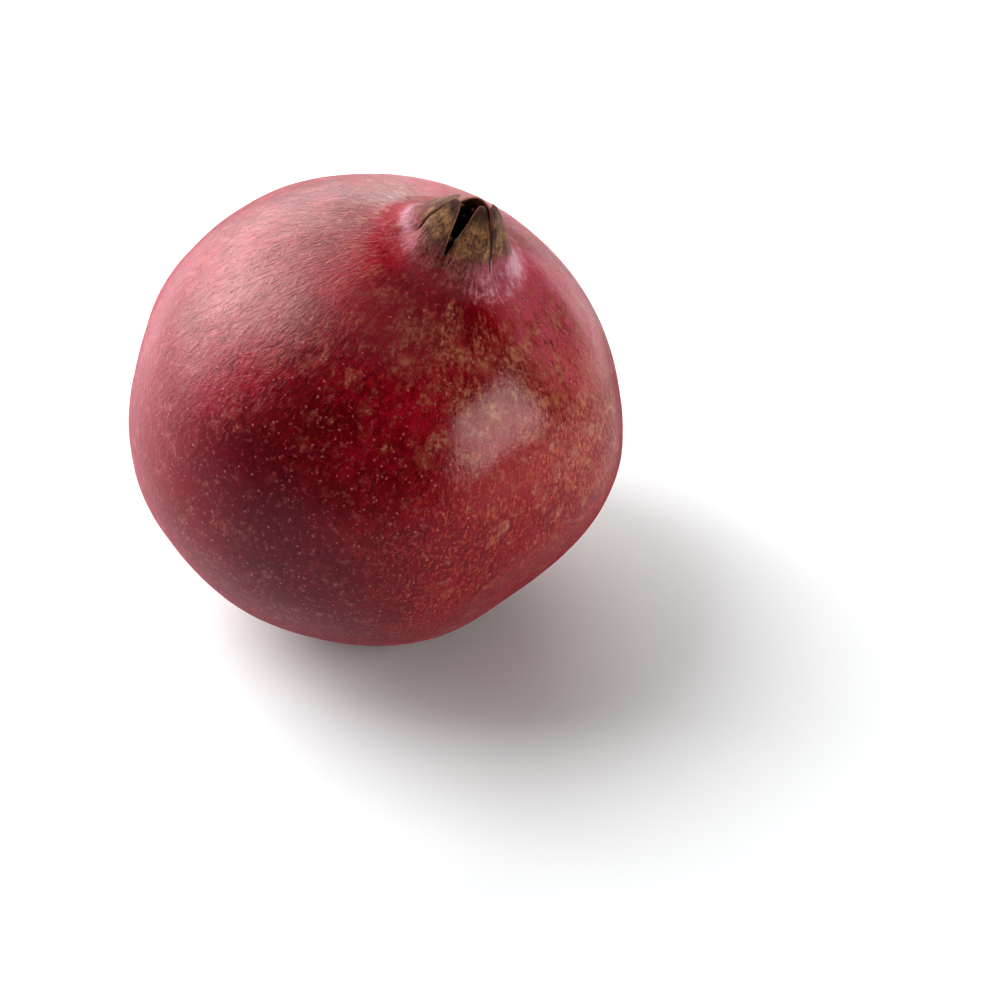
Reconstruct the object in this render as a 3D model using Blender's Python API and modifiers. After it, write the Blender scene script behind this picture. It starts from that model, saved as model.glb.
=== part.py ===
"""A whole pomegranate, resting on a small flat spot with its crown leaning to +X.

Metres, +Z up, origin at the middle of the flat spot. The fruit is shaped upright
about its own axis, stem pole down and crown up, and is leaned over at the end.
"""
import math

import bmesh
import bpy
from mathutils import Matrix, Vector

MM = 0.001

# The body, before its own unevenness.
BODY_RADIUS = 47.5 * MM
BODY_HALF_HEIGHT = 44.1 * MM
LEAN = math.radians(22.8)
CENTRE_OFFSET = -2.4 * MM
CENTRE_HEIGHT = 43.6 * MM

# The stem end: a shallow dimple with the cut stem standing in it.
DIMPLE_DEPTH = 2.2 * MM
DIMPLE_REACH = 9.0 * MM
DIMPLE_FLOOR_RADIUS = 2.9 * MM
STEM_RADIUS = 2.3 * MM
STEM_LENGTH = 3.2 * MM
STEM_FLARE = 1.12
STEM_EDGE = 0.35 * MM
GAP = 0.3 * MM

# The crown: five pointed calyx lobes on a short tube around an open cup.
CROWN_FOOT_RADIUS = 14.0 * MM
CROWN_OUTER_RADIUS = 10.9 * MM
CUP_RADIUS = 7.5 * MM
SLIT_HEIGHT = 44.4 * MM
SLIT_INSET = 2.3 * MM
RIM_THICKNESS = 0.55 * MM
CUP_FLOOR = 40.6 * MM
CUP_FLOOR_DOME = 0.5 * MM
SLIT_INSET_REACH = 6.5 * MM
CROWN_LEAN = math.radians(3.0)
CROWN_LEAN_FOOT = 42.0 * MM
CROWN_LEAN_REACH = 4.0 * MM
CROWN_LEAN_TOWARD = math.radians(-169)

# Each lobe runs from its slit to the next: the slit's angle, how steeply the lobes'
# edges rise from it (2 opens wide, 8 is a closed crack), the lobe's height and the
# radius at its tip, both in mm.
LOBES = [
    (-156, 3.6, 10.6, 4.3),
    (-102, 3.4, 10.9, 2.6),
    (-30, 8.0, 10.2, 2.6),
    (42, 2.6, 7.9, 3.0),
    (114, 3.0, 7.9, 3.0),
]

# Soft ribs from pole to pole, over the seed chambers: longitude, height in mm.
RIBS = [(-72, 1.3), (-12, 1.0), (42, 1.0), (102, 0.9), (168, 1.0), (-126, 0.9)]
RIB_REACH = 24 * MM
RIB_END = math.radians(45)

# Broad swellings (+) and flats (-) of the rind: longitude, latitude, height in mm.
SWELLINGS = [
    (-6, 11, 0.9), (8, 26, 0.3), (49, 50, -0.7), (81, 55, 0.3),
    (113, 50, -1.2), (138, 40, -0.4), (155, 26, -1.1), (169, 11, -1.2),
    (-178, -4, -0.7), (-164, -19, -0.6), (-148, -32, 1.7), (-126, -41, -1.0),
    (-99, -44, 1.9), (-72, -41, -1.6), (-50, -32, 1.3), (-33, -19, -1.8),
    (-19, -4, -1.6), (70, 5, 0.5), (95, -25, 0.7), (50, -30, -0.8),
    (140, -30, -0.6),
]
SWELLING_REACH = 30 * MM

# The mesh of the body: columns round it, rows from the crown's foot to the dimple.
COLUMNS = 60
ROWS = 26

# The withered style: heights along it and its radii there, in mm.
STYLE_HEIGHTS = [0.0, 1.5, 3.0, 4.4, 5.0, 5.5]
STYLE_RADII = [0.55, 0.38, 0.34, 0.38, 0.62, 0.40]
STYLE_BEND = 0.02

# The stamens: places along one, from foot to tip, and its radii there, in mm.
STAMENS = 30
STAMEN_SHARES = [0.0, 0.3, 0.6, 0.85, 0.93, 1.0]
STAMEN_RADII = [0.22, 0.19, 0.17, 0.18, 0.32, 0.20]
STAMEN_WALL_GAP = 0.75 * MM


def new_collection(name):
    collection = bpy.data.collections.new(name)
    bpy.context.scene.collection.children.link(collection)
    return collection


def new_material(name, colour, roughness, metallic=0.0):
    material = bpy.data.materials.new(name)
    material.use_nodes = True
    shader = material.node_tree.nodes["Principled BSDF"]
    shader.inputs["Base Color"].default_value = (*colour, 1.0)
    shader.inputs["Roughness"].default_value = roughness
    shader.inputs["Metallic"].default_value = metallic
    return material


def fall_off(distance, reach):
    """1 at the middle, 0 at the reach, level at both ends."""
    d = max(0.0, min(1.0, 1.0 - distance / reach))
    return 3 * d * d - 2 * d ** 3


def body_height(radius):
    return BODY_HALF_HEIGHT * math.sqrt(max(0.0, 1 - (radius / BODY_RADIUS) ** 2))


def lobe_at(angle):
    """The lobe that covers an angle: its height, its tip's radius, the place across
    it, from -1 at one slit to 1 at the next, and its edge's height as a share."""
    degrees = math.degrees(angle)
    for index, (slit, steepness, height, tip) in enumerate(LOBES):
        next_slit, next_steepness = LOBES[(index + 1) % len(LOBES)][:2]
        width = (next_slit - slit) % 360
        across = (degrees - slit + 0.01) % 360 - 0.01
        if across < width:
            across = max(-1.0, min(1.0, 2 * across / width - 1))
            power = steepness if across < 0 else next_steepness
            return height * MM, tip * MM, across, 1 - abs(across) ** power
    raise ValueError(degrees)


def crown_radii(angle, rise, share):
    """Outer and inner radius of the crown's wall at a height above the slits. The
    share of the way up to the lobe's edge thins the wall."""
    height, tip_radius, across = lobe_at(angle)[:3]
    up = max(0.0, rise) / height
    drawn_in = tip_radius + RIM_THICKNESS - CROWN_OUTER_RADIUS
    outer = CROWN_OUTER_RADIUS + drawn_in * up ** 1.08
    inner = CUP_RADIUS + (tip_radius - CUP_RADIUS) * up ** 1.5
    outer -= SLIT_INSET * across ** 2 * fall_off(rise, SLIT_INSET_REACH)
    inner = min(inner, outer - RIM_THICKNESS)
    return outer, inner + (outer - RIM_THICKNESS - inner) * share ** 2


def fruit_profile():
    """Half outline of the fruit, from the cup's floor over the rim to the stem pole.
    Above SLIT_HEIGHT it is a straight tube 1 m tall, so that height there means
    the share of the way up a lobe."""
    shares = [0.0, 0.16, 0.34, 0.54, 0.76, 0.93]
    points = [
        (0.0, CUP_FLOOR + CUP_FLOOR_DOME),
        (0.45 * CUP_RADIUS, CUP_FLOOR + 0.7 * CUP_FLOOR_DOME),
        (0.80 * CUP_RADIUS, CUP_FLOOR),
        (0.94 * CUP_RADIUS, CUP_FLOOR + 0.8 * MM),
        (0.98 * CUP_RADIUS, CUP_FLOOR + 2.2 * MM),
    ]
    points += [(CUP_RADIUS, SLIT_HEIGHT + share) for share in shares]
    points.append(((CUP_RADIUS + CROWN_OUTER_RADIUS) / 2, SLIT_HEIGHT + 1.0))
    points += [(CROWN_OUTER_RADIUS, SLIT_HEIGHT + share) for share in reversed(shares)]
    foot_height = body_height(CROWN_FOOT_RADIUS)
    for share, radius in [(0.25, 11.35), (0.50, 11.95), (0.75, 12.75)]:
        points.append((radius * MM, SLIT_HEIGHT + share * (foot_height - SLIT_HEIGHT)))
    top = math.acos(CROWN_FOOT_RADIUS / BODY_RADIUS)
    bottom = -math.acos(DIMPLE_REACH / BODY_RADIUS)
    for row in range(ROWS + 1):
        latitude = top + (bottom - top) * row / ROWS
        points.append((BODY_RADIUS * math.cos(latitude), BODY_HALF_HEIGHT * math.sin(latitude)))
    slope = DIMPLE_REACH - DIMPLE_FLOOR_RADIUS
    for share in (0.84, 0.70, 0.56, 0.43, 0.33, 0.20, 0.0):
        radius = DIMPLE_REACH * share
        depth = DIMPLE_DEPTH * fall_off(radius - DIMPLE_FLOOR_RADIUS, slope)
        points.append((radius, depth - body_height(radius)))
    return points


def spin_profile(name, points, steps):
    """A closed body of revolution, as a plain mesh."""
    mesh = bpy.data.meshes.new(name + "_profile")
    edges = [(i, i + 1) for i in range(len(points) - 1)]
    mesh.from_pydata([(r, 0.0, z) for r, z in points], edges, [])
    profile = bpy.data.objects.new(name + "_profile", mesh)
    bpy.context.scene.collection.objects.link(profile)
    screw = profile.modifiers.new("Screw", "SCREW")
    screw.axis = "Z"
    screw.steps = steps
    screw.render_steps = steps
    screw.use_merge_vertices = True
    screw.merge_threshold = 0.00001
    depsgraph = bpy.context.evaluated_depsgraph_get()
    spun = bpy.data.meshes.new_from_object(profile.evaluated_get(depsgraph))
    spun.name = name
    bpy.data.objects.remove(profile)
    bpy.data.meshes.remove(mesh)
    return spun


def shape_lobe(point):
    """Bend one point of the straight tube into its lobe of the crown."""
    share = max(0.0, point.z - SLIT_HEIGHT)
    angle = math.atan2(point.y, point.x)
    height, _, _, edge = lobe_at(angle)
    rise = share * height * edge
    outer, inner = crown_radii(angle, rise, share)
    place = (math.hypot(point.x, point.y) - CUP_RADIUS) / (CROWN_OUTER_RADIUS - CUP_RADIUS)
    radius = inner + (outer - inner) * place
    return Vector((radius * math.cos(angle), radius * math.sin(angle), SLIT_HEIGHT + rise))


def shape_collar(point):
    """Draw the crown's foot in under each slit, so that it swells under each lobe."""
    angle = math.atan2(point.y, point.x)
    radius = math.hypot(point.x, point.y)
    across = lobe_at(angle)[2]
    if radius > CROWN_OUTER_RADIUS:
        share = (CROWN_FOOT_RADIUS - radius) / (CROWN_FOOT_RADIUS - CROWN_OUTER_RADIUS)
        radius -= SLIT_INSET * across ** 2 * share
    return Vector((radius * math.cos(angle), radius * math.sin(angle), point.z))


def surface_point(longitude, latitude):
    lon = math.radians(longitude)
    lat = math.radians(latitude)
    direction = Vector((
        math.cos(lat) * math.cos(lon),
        math.cos(lat) * math.sin(lon),
        math.sin(lat),
    ))
    length = math.sqrt(
        (direction.x ** 2 + direction.y ** 2) / BODY_RADIUS ** 2
        + direction.z ** 2 / BODY_HALF_HEIGHT ** 2
    )
    return direction / length, direction


def raise_ribs(points):
    """Lift the rind along each rib. All ribs are measured on the smooth body."""
    lifted = []
    for point in points:
        axis_distance = math.hypot(point.x, point.y)
        latitude = math.atan2(point.z, axis_distance)
        latitude = max(-RIB_END, min(RIB_END, latitude))
        lift = 0.0
        for longitude, height in RIBS:
            lon = math.radians(longitude)
            near = Vector((
                BODY_RADIUS * math.cos(latitude) * math.cos(lon),
                BODY_RADIUS * math.cos(latitude) * math.sin(lon),
                BODY_HALF_HEIGHT * math.sin(latitude),
            ))
            lift += height * MM * fall_off((point - near).length, RIB_REACH)
        outward = Vector((point.x, point.y, 0.0)) / BODY_RADIUS
        lifted.append(point + outward * lift)
    return lifted


def raise_swellings(points):
    for longitude, latitude, height in SWELLINGS:
        middle, direction = surface_point(longitude, latitude)
        points = [
            p + direction * height * MM * fall_off((p - middle).length, SWELLING_REACH)
            for p in points
        ]
    return points


def lean_crown(point):
    """The crown leans a little more than the fruit, from its foot up."""
    rise = point.z - CROWN_LEAN_FOOT
    if rise <= 0 or math.hypot(point.x, point.y) > CROWN_FOOT_RADIUS:
        return point
    shift = rise * math.tan(CROWN_LEAN) * min(1.0, rise / CROWN_LEAN_REACH)
    toward = Vector((math.cos(CROWN_LEAN_TOWARD), math.sin(CROWN_LEAN_TOWARD), 0.0))
    return point + toward * shift


def in_place(point):
    """From the upright fruit's own axes to its resting place."""
    lean = Matrix.Rotation(LEAN, 4, "Y")
    place = Matrix.Translation((CENTRE_OFFSET, 0.0, CENTRE_HEIGHT))
    return place @ lean @ point


def on_fruit(point):
    """A point of a part in the cup, carried along with the crown and the rind."""
    return in_place(raise_swellings(raise_ribs([lean_crown(point)]))[0])


def add_object(name, mesh, material, collection):
    obj = bpy.data.objects.new(name, mesh)
    obj.data.materials.append(material)
    collection.objects.link(obj)
    mesh.shade_smooth()
    mesh.set_sharp_from_angle(angle=math.radians(50))


def build_fruit(collection, material):
    mesh = spin_profile("fruit", fruit_profile(), COLUMNS)
    points = []
    for vertex in mesh.vertices:
        point = vertex.co.copy()
        if point.z > SLIT_HEIGHT - 0.01 * MM:
            point = shape_lobe(point)
        elif point.z > CUP_FLOOR and math.hypot(point.x, point.y) < CROWN_FOOT_RADIUS - 0.1 * MM:
            point = shape_collar(point)
        points.append(lean_crown(point))
    points = raise_swellings(raise_ribs(points))
    for vertex, point in zip(mesh.vertices, points):
        vertex.co = in_place(point)
    bm = bmesh.new()
    bm.from_mesh(mesh)
    # The small flat spot that the fruit rests on.
    cut = bmesh.ops.bisect_plane(
        bm,
        geom=bm.verts[:] + bm.edges[:] + bm.faces[:],
        dist=0.00001,
        plane_co=(0, 0, 0),
        plane_no=(0, 0, -1),
        clear_outer=True,
    )
    rim = [e for e in cut["geom_cut"] if isinstance(e, bmesh.types.BMEdge)]
    bmesh.ops.contextual_create(bm, geom=rim)
    bmesh.ops.remove_doubles(bm, verts=bm.verts, dist=0.00002)
    bmesh.ops.recalc_face_normals(bm, faces=bm.faces)
    bm.to_mesh(mesh)
    bm.free()
    add_object("fruit", mesh, material, collection)


def build_stem_stub(collection, material):
    """The short woody stem, cut square, with a slightly wider foot in the dimple."""
    bm = bmesh.new()
    bmesh.ops.create_cone(
        bm,
        cap_ends=True,
        segments=20,
        radius1=STEM_RADIUS,
        radius2=STEM_RADIUS * STEM_FLARE,
        depth=STEM_LENGTH,
    )
    rims = [e for e in bm.edges if abs(e.verts[0].co.z - e.verts[1].co.z) < 0.1 * MM]
    bmesh.ops.bevel(
        bm, geom=rims, offset=STEM_EDGE, segments=2, profile=0.5, affect="EDGES"
    )
    dimple_floor = -BODY_HALF_HEIGHT + DIMPLE_DEPTH
    middle = dimple_floor - GAP - STEM_LENGTH / 2
    for vertex in bm.verts:
        angle = math.atan2(vertex.co.y, vertex.co.x)
        uneven = 1 + 0.05 * math.cos(2 * angle + 0.6) + 0.03 * math.cos(3 * angle)
        point = Vector((vertex.co.x * uneven, vertex.co.y * uneven, vertex.co.z + middle))
        vertex.co = in_place(point)
    mesh = bpy.data.meshes.new("stem_stub")
    bm.to_mesh(mesh)
    bm.free()
    add_object("stem_stub", mesh, material, collection)


def tube_mesh(name, points, radii):
    """A closed tube through the points, thicker or thinner by the radii."""
    curve = bpy.data.curves.new(name, "CURVE")
    curve.dimensions = "3D"
    curve.bevel_depth = 1.0
    curve.bevel_resolution = 1
    curve.use_fill_caps = True
    spline = curve.splines.new("POLY")
    spline.points.add(len(points) - 1)
    for target, point, radius in zip(spline.points, points, radii):
        target.co = (*point, 1.0)
        target.radius = radius
    guide = bpy.data.objects.new(name + "_guide", curve)
    bpy.context.scene.collection.objects.link(guide)
    depsgraph = bpy.context.evaluated_depsgraph_get()
    mesh = bpy.data.meshes.new_from_object(guide.evaluated_get(depsgraph))
    mesh.name = name
    bpy.data.objects.remove(guide)
    bpy.data.curves.remove(curve)
    bm = bmesh.new()
    bm.from_mesh(mesh)
    bmesh.ops.remove_doubles(bm, verts=bm.verts, dist=0.000005)
    bmesh.ops.recalc_face_normals(bm, faces=bm.faces)
    bm.to_mesh(mesh)
    bm.free()
    return mesh


def build_style(collection, material):
    """The withered style, a thin stalk with a knob, standing on the cup's floor."""
    foot = CUP_FLOOR + CUP_FLOOR_DOME + GAP
    points = []
    for height in STYLE_HEIGHTS:
        bend = STYLE_BEND * height ** 2 * MM
        points.append(on_fruit(Vector((bend, 0.4 * bend, foot + height * MM))))
    mesh = tube_mesh("style", points, [r * MM for r in STYLE_RADII])
    add_object("style", mesh, material, collection)


def build_stamens(collection, material):
    """Dried stamens in two whorls on the cup's wall, leaning in and up, each a thin
    filament ending in a swollen anther."""
    for number in range(STAMENS):
        upper = number % 2
        angle = 2 * math.pi * (number + 0.5) / STAMENS
        wander = math.sin(5.1 * number + 1.0)
        base = CUP_FLOOR + (1.7 + 1.6 * upper) * MM
        length = (4.3 + 0.5 * upper + 0.6 * math.sin(2.3 * number)) * MM
        inward = (1.7 - 1.2 * upper + 0.3 * wander) * MM
        points = []
        for share in STAMEN_SHARES:
            height = base + length * share
            wall = crown_radii(angle, height - SLIT_HEIGHT, 0.0)[1]
            radius = wall - STAMEN_WALL_GAP - inward * share ** 1.2
            turn = angle + 0.08 * wander * share
            local = Vector((radius * math.cos(turn), radius * math.sin(turn), height))
            points.append(on_fruit(local))
        name = f"stamen_{number + 1:02d}"
        mesh = tube_mesh(name, points, [r * MM for r in STAMEN_RADII])
        add_object(name, mesh, material, collection)


def build():
    for obj in list(bpy.data.objects):
        bpy.data.objects.remove(obj, do_unlink=True)
    pomegranate = new_collection("pomegranate")
    rind = new_material("rind", (0.30, 0.018, 0.026), 0.38)
    wood = new_material("cut_stem", (0.19, 0.11, 0.055), 0.75)
    dried = new_material("dried_stamens", (0.30, 0.17, 0.07), 0.7)
    withered = new_material("withered_style", (0.12, 0.055, 0.03), 0.7)
    build_fruit(pomegranate, rind)
    build_stem_stub(pomegranate, wood)
    build_style(pomegranate, withered)
    build_stamens(pomegranate, dried)


build()
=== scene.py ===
"""The look of a whole pomegranate, laid over its CAD frame."""
import math

import bmesh
import bpy
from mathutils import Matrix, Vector


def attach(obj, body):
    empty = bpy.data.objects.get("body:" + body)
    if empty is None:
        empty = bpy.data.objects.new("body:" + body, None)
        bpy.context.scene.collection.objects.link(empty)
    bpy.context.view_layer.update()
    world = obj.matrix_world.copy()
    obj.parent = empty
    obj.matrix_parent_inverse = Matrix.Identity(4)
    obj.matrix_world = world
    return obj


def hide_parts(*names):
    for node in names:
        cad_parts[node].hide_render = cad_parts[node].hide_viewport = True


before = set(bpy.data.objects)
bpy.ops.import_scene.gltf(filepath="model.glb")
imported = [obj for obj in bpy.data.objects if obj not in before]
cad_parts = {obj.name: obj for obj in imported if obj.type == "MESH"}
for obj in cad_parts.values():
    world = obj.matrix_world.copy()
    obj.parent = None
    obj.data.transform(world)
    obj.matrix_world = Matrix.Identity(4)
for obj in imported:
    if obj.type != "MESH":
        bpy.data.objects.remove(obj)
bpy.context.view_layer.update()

MM = 0.001

# ---------------------------------------------------------------------------
# The fruit: a leathery rind over the body, drawn up at the flower end into a
# tube that splits into five dried calyx lobes around an open cup. It all grew
# as one piece, so it is one skin from the stem dimple to the cup's floor.
# ---------------------------------------------------------------------------
BODY_RADIUS = 47.5 * MM
BODY_HALF_HEIGHT = 44.1 * MM
LEAN = math.radians(22.8)
BODY_CENTRE = Vector((-2.4, 0.0, 43.6)) * MM

COLUMNS = 120
BODY_RINGS = 60
CROWN_FOOT_RADIUS = 14.0 * MM
CROWN_OUTER_RADIUS = 10.9 * MM
CUP_RADIUS = 7.5 * MM
CUP_FLOOR = 40.6 * MM
SLIT_HEIGHT = 44.4 * MM
SLIT_INSET = 2.3 * MM
SLIT_INSET_REACH = 6.5 * MM
EDGE_STAND_REACH = 1.5 * MM
RIM_THICKNESS = 0.55 * MM
CROWN_LEAN = math.radians(3.0)
CROWN_LEAN_TOWARD = math.radians(-169)
CROWN_LEAN_FOOT = 42.0 * MM
CROWN_LEAN_REACH = 4.0 * MM
TUBE_HEIGHT = 10.0 * MM
LIP_ROLL = 0.18 * MM
LIP_START = 0.8

# Each lobe runs from its slit to the next: the slit's angle in degrees, how
# steeply the lobes' edges rise from it, and in millimetres how far the edges
# before and after it stand out, the lobe's height and the radius at its tip.
LOBES = [
    (-156, 3.6, (0.3, -0.3), 10.6, 4.3),
    (-102, 3.4, (0.2, 0.2), 10.9, 2.6),
    (-30, 8.0, (0.2, -0.35), 10.2, 2.6),
    (42, 2.6, (0.2, 0.2), 7.9, 3.0),
    (114, 3.0, (0.3, 0.2), 7.9, 3.0),
]

# The closed crack beside the front lobe sways back as it rises, taking the lobes'
# edges with it for some degrees to each side.
CRACK_ANGLE = -30
CRACK_SWAY = math.radians(-9)
CRACK_SWAY_SIDES = 50
CRACK_SWAY_RISE = 3 * MM

# Soft ribs over the seed chambers, each a longitude and a lift in millimetres, and
# the rind's broad swellings and flats, each a longitude, a latitude and a lift.
RIBS = [(-72, 1.3), (-12, 1.0), (42, 1.0), (102, 0.9), (168, 1.0), (-126, 0.9)]
SWELLINGS = [
    (-6, 11, 0.9), (8, 26, 0.3), (49, 50, -0.7), (81, 55, 0.3),
    (113, 50, -1.2), (138, 40, -0.4), (155, 26, -1.1), (169, 11, -1.2),
    (-178, -4, -0.7), (-164, -19, -0.6), (-148, -32, 1.7), (-126, -41, -1.0),
    (-99, -44, 1.9), (-72, -41, -1.6), (-50, -32, 1.3), (-33, -19, -1.8),
    (-19, -4, -1.6), (70, 5, 0.5), (95, -25, 0.7), (50, -30, -0.8),
    (140, -30, -0.6),
]
RIB_LATITUDE = math.radians(45)
RIB_REACH = 24 * MM
SWELLING_MIDDLE = 2 * MM
SWELLING_REACH = 29 * MM
DIMPLE_FLOOR_RADIUS = 3.0 * MM
DIMPLE_DEPTH = 2.2 * MM
DIMPLE_REACH = 6.1 * MM
DIMPLE_RINGS = (1.0, 1.9, 3.1, 3.9, 5.9, 6.9)

# How near counts as on a cut, as one point, as the same ring and, in radians, as the
# same column; and the angle below which faces are shaded as one surface.
ON_CUT = 0.001 * MM
WELD = 0.01 * MM
SAME_RING = 0.1 * MM
SAME_COLUMN = 0.01
SMOOTH_ANGLE = math.radians(50)


def fall_off(distance, reach):
    """1 at no distance, falling smoothly to 0 at the reach."""
    d = max(0.0, min(1.0, 1.0 - distance / reach))
    return 3 * d * d - 2 * d ** 3


def lobe_at(degrees):
    """The lobe over an angle: height, tip radius, place across it from -1 to 1,
    how high its edge stands there as a share of its height, and how far the
    edge stands out."""
    for index, (slit, steepness, stand, lobe_height, tip) in enumerate(LOBES):
        next_slit, next_steepness, next_stand = LOBES[(index + 1) % len(LOBES)][:3]
        width = (next_slit - slit) % 360
        across = (degrees - slit + 0.01) % 360 - 0.01
        if across < width:
            across = max(-1.0, min(1.0, 2 * across / width - 1))
            power = steepness if across < 0 else next_steepness
            standing = stand[1] if across < 0 else next_stand[0]
            edge = 1 - abs(across) ** power
            return lobe_height * MM, tip * MM, across, edge, standing * MM


def start_edit(obj):
    """Open one object alone in edit mode with nothing selected."""
    bpy.ops.object.select_all(action="DESELECT")
    bpy.context.view_layer.objects.active = obj
    obj.select_set(True)
    bpy.ops.object.mode_set(mode="EDIT")
    bpy.ops.mesh.select_mode(type="VERT")
    bpy.ops.mesh.select_all(action="DESELECT")


def pick(obj, wanted):
    """Select the vertices whose place is wanted, and nothing else."""
    bpy.ops.mesh.select_all(action="DESELECT")
    mesh = bmesh.from_edit_mesh(obj.data)
    for vertex in mesh.verts:
        if wanted(vertex.co):
            vertex.select = True
    mesh.select_flush(True)
    bmesh.update_edit_mesh(obj.data)


def grow_ring(rise, radius_from, radius_to, height):
    """Draw the open ring of edges on to the next ring: up by rise, in or out."""
    bpy.ops.mesh.extrude_region_move(TRANSFORM_OT_translate={"value": (0, 0, rise)})
    share = radius_to / radius_from
    bpy.ops.transform.resize(value=(share, share, 1), center_override=(0, 0, height))


def body_height(radius):
    """How high the plain body stands above its middle, at a distance from the axis."""
    return BODY_HALF_HEIGHT * math.sqrt(1 - (radius / BODY_RADIUS) ** 2)


# The body is a flattened ball with its flower end cut off level, and extra rings
# at the stem end for the dimple.
bpy.ops.object.select_all(action="DESELECT")
bpy.ops.mesh.primitive_uv_sphere_add(segments=COLUMNS, ring_count=BODY_RINGS, radius=BODY_RADIUS)
fruit = bpy.context.object
fruit.name = "pomegranate_skin"
start_edit(fruit)
bpy.ops.mesh.select_all(action="SELECT")
bpy.ops.transform.resize(
    value=(1, 1, BODY_HALF_HEIGHT / BODY_RADIUS), center_override=(0, 0, 0)
)
for ring_radius in DIMPLE_RINGS:
    bpy.ops.mesh.select_all(action="SELECT")
    bpy.ops.mesh.bisect(
        plane_co=(0, 0, -body_height(ring_radius * MM)), plane_no=(0, 0, 1), threshold=ON_CUT
    )
foot_height = body_height(CROWN_FOOT_RADIUS)
bpy.ops.mesh.select_all(action="SELECT")
bpy.ops.mesh.bisect(
    plane_co=(0, 0, foot_height), plane_no=(0, 0, 1), clear_outer=True, threshold=ON_CUT
)

# The cut ring grows on as the crown: its foot, a straight tube for the lobes, with
# rings closer near the rim, and back down the inside to the cup's floor.
# Foot rings are shares of the way down from the slits, and radii in millimetres.
# Floor rings are millimetres above the floor, and shares of the cup's radius.
FOOT_RINGS = [(0.87, 13.35), (0.75, 12.75), (0.62, 12.3), (0.50, 11.95), (0.37, 11.6),
              (0.25, 11.35), (0.12, 11.1), (0.0, 10.9)]
LOBE_RINGS = [n / 14 for n in range(1, 13)] + [0.91, 0.955, 0.985, 1.0]
FLOOR_RINGS = [(2.4, 0.99), (1.2, 0.97), (0.4, 0.92), (0.0, 0.80), (0.2, 0.60), (0.4, 0.40),
               (0.5, 0.20)]
foot_drop = SLIT_HEIGHT - foot_height
crown_rings = [(SLIT_HEIGHT - share * foot_drop, wide * MM) for share, wide in FOOT_RINGS]
crown_rings += [(SLIT_HEIGHT + share * TUBE_HEIGHT, CROWN_OUTER_RADIUS) for share in LOBE_RINGS]
crown_rings += [
    (SLIT_HEIGHT + share * TUBE_HEIGHT, CUP_RADIUS) for share in reversed([0.0] + LOBE_RINGS)
]
crown_rings += [(CUP_FLOOR + over * MM, share * CUP_RADIUS) for over, share in FLOOR_RINGS]
height = foot_height
radius = CROWN_FOOT_RADIUS
for next_height, next_radius in crown_rings:
    grow_ring(next_height - height, radius, next_radius, next_height)
    height = next_height
    radius = next_radius
bpy.ops.mesh.extrude_region_move(TRANSFORM_OT_translate={"value": (0, 0, 0)})
bpy.ops.mesh.merge(type="CENTER")
bpy.ops.mesh.select_all(action="SELECT")
bpy.ops.mesh.normals_make_consistent(inside=False)
bpy.ops.object.mode_set(mode="OBJECT")

# Each column of the tube is brought down to its lobe's edge and in to its lobe's
# face. Marks kept on the points say where the dried parts of the crown are.
MARKS = ("crown_rise", "edge_nearness", "cup_side")
for mark in MARKS:
    fruit.data.attributes.new(mark, "FLOAT", "POINT")


def cup_wall(tip_radius, up):
    """The cup's radius at a share of its lobe's height."""
    return CUP_RADIUS + (tip_radius - CUP_RADIUS) * up ** 1.5


def shape_crown_point(point):
    """One point of the straight tube or of the crown's foot, put in its place."""
    angle = math.atan2(point.y, point.x)
    spread = math.hypot(point.x, point.y)
    lobe_height, tip_radius, across, edge, standing = lobe_at(math.degrees(angle))
    if point.z < SLIT_HEIGHT - ON_CUT:
        if spread > CROWN_OUTER_RADIUS:
            share = (CROWN_FOOT_RADIUS - spread) / (CROWN_FOOT_RADIUS - CROWN_OUTER_RADIUS)
            spread -= SLIT_INSET * across ** 2 * share
        return Vector((spread * math.cos(angle), spread * math.sin(angle), point.z))
    share = max(0.0, (point.z - SLIT_HEIGHT) / TUBE_HEIGHT)
    rise = share * lobe_height * edge
    up = rise / lobe_height
    outer = CROWN_OUTER_RADIUS + (tip_radius + RIM_THICKNESS - CROWN_OUTER_RADIUS) * up ** 1.08
    inner = cup_wall(tip_radius, up)
    outer -= SLIT_INSET * across ** 2 * fall_off(rise, SLIT_INSET_REACH)
    outer += standing * abs(across) ** 3 * min(1.0, rise / EDGE_STAND_REACH)
    outer += LIP_ROLL * max(0.0, (share - LIP_START) / (1 - LIP_START))
    inner = min(inner, outer - RIM_THICKNESS)
    inner += (outer - RIM_THICKNESS - inner) * share ** 2
    place = (spread - CUP_RADIUS) / (CROWN_OUTER_RADIUS - CUP_RADIUS)
    spread = inner + (outer - inner) * place
    from_crack = (math.degrees(angle) - CRACK_ANGLE + 180) % 360 - 180
    sway = CRACK_SWAY * fall_off(abs(from_crack), CRACK_SWAY_SIDES)
    angle += sway * min(1.0, rise / CRACK_SWAY_RISE)
    return Vector((spread * math.cos(angle), spread * math.sin(angle), SLIT_HEIGHT + rise))


rise_mark, edge_mark, cup_mark = [fruit.data.attributes[mark].data for mark in MARKS]
for vertex in fruit.data.vertices:
    spread = math.hypot(vertex.co.x, vertex.co.y)
    if vertex.co.z < CUP_FLOOR - SAME_RING or spread > CROWN_FOOT_RADIUS + SAME_RING:
        continue
    inside = spread < CUP_RADIUS + SAME_RING
    if vertex.co.z > SLIT_HEIGHT - ON_CUT:
        share = (vertex.co.z - SLIT_HEIGHT) / TUBE_HEIGHT
        edge_mark[vertex.index].value = max(0.0, share)
    cup_mark[vertex.index].value = 1.0 if inside else 0.0
    vertex.co = shape_crown_point(vertex.co)
    rise_mark[vertex.index].value = (vertex.co.z - foot_height) / MM

# The rind's ribs and swellings are pulled out, and its flats pushed in, each from
# one place with a soft fall-off, all on the still upright fruit.
start_edit(fruit)


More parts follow.
